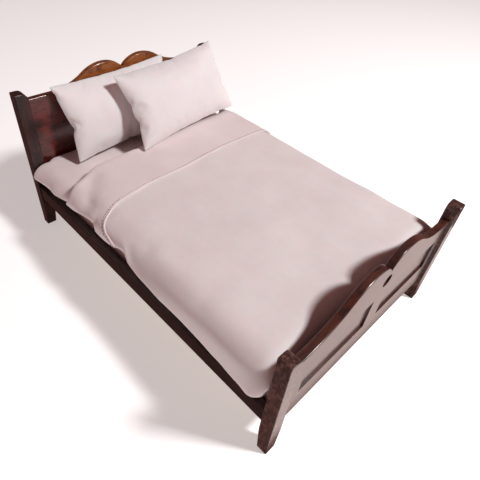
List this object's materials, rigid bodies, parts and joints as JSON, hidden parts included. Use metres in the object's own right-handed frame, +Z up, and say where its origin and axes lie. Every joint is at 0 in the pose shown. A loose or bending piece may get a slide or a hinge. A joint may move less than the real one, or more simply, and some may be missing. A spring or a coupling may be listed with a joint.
{
  "type": "miniature doll's house double bed",
  "caption": "Miniature doll's house double bed with short corner posts, double-humped panelled head and foot boards, lift-out padded bedding and loose pillows.",
  "frame": {"origin": "under the middle of the bed, on the plane the legs stand on", "axes": "+X towards the foot of the bed, +Y towards its right-hand side seen from the foot, +Z up"},
  "size_m": [0.183, 0.1298, 0.0866],
  "materials": {
    "stained_wood": "dark red-brown stain under high-gloss lacquer",
    "plain_wood": "bare sanded",
    "ticking": "plain woven cotton over wadding, dusky brown-pink",
    "pink_cotton": "plain woven, matte, very pale pink",
    "pale_trim": "corded edging, matte",
    "pale_cotton": "plain woven, matte, pinkish white",
    "wadding": "loose polyester wadding"
  },
  "bodies": {
    "frame": {"head_post_left": "stained_wood", "head_post_right": "stained_wood", "foot_post_left": "stained_wood", "foot_post_right": "stained_wood", "headboard": "stained_wood", "footboard": "stained_wood", "side_rail_left": "stained_wood", "side_rail_right": "stained_wood", "ledger_strip_left": "plain_wood", "ledger_strip_right": "plain_wood", "rail_dowels_head": "plain_wood", "rail_dowels_foot": "plain_wood", "base_board": "plain_wood"},
    "bedding": {"mattress": "ticking", "bottom_sheet": "pink_cotton", "top_sheet": "pink_cotton", "duvet": "pink_cotton", "turndown_trim": "pale_trim"},
    "back_pillow": {"back_pillow_case": "pale_cotton", "back_pillow_filling": "wadding"},
    "front_pillow": {"front_pillow_case": "pale_cotton", "front_pillow_filling": "wadding"}
  },
  "joints": [
    {"name": "bedding_lift", "type": "slide", "parent": "frame", "child": "bedding", "axis": [0, 0, 1], "range_m": [0, 0.065]},
    {"name": "back_pillow_lift", "type": "slide", "parent": "bedding", "child": "back_pillow", "axis": [0, 0, 1], "range_m": [0, 0.05]},
    {"name": "front_pillow_lift", "type": "slide", "parent": "back_pillow", "child": "front_pillow", "axis": [0, 0, 1], "range_m": [0, 0.05]}
  ]
}
